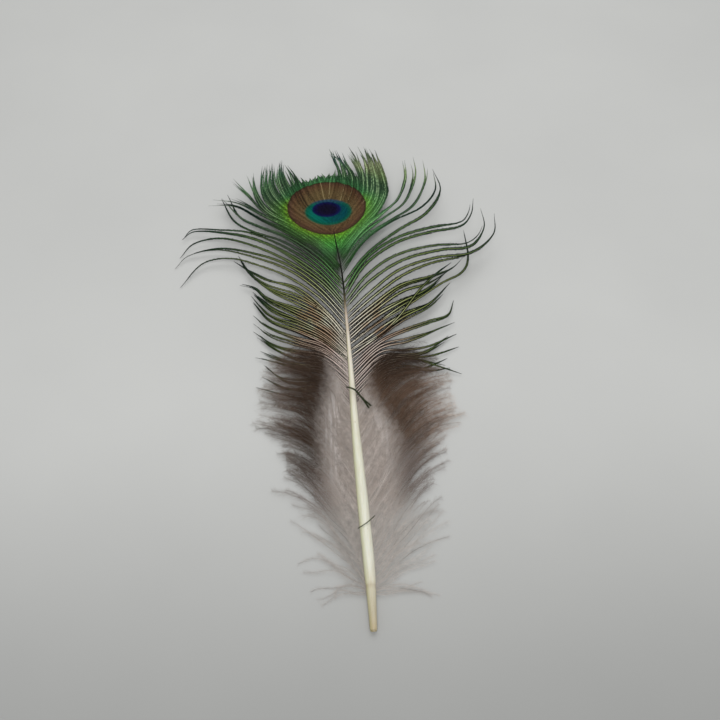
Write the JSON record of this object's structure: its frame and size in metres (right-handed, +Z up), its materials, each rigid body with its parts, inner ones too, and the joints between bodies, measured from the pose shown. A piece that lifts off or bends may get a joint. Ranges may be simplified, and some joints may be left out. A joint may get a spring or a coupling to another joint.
{
  "type": "peacock feather",
  "caption": "Small eyed peacock train covert lying flat: pale tapering shaft, close vane round the eye, loose curled flues and soft brown-grey down at the base.",
  "frame": {"origin": "on the resting plane under the shaft, in the flat underside of the down, 45 mm from the quill's tip", "axes": "+Y along the shaft from the quill towards the eye, +X to the right of the upper side, +Z up from the resting plane"},
  "size_m": [0.1043, 0.1686, 0.0076],
  "materials": {
    "flues": "dark green barbs with a soft iridescent green-gold sheen",
    "eye": "bright iridescent green vane with a bronze disc, a turquoise ring and a violet-black centre",
    "shaft": "ivory keratin, smooth and slightly glossy, yellowish at the quill's tip",
    "down": "soft matt fluff, dark brown at the top and pale pinkish grey at the quill",
    "scrap": "dull dark green broken barb"
  },
  "bodies": {
    "root": {"feather": "flues", "forked_scrap": "scrap", "short_scrap": "scrap"}
  },
  "joints": []
}
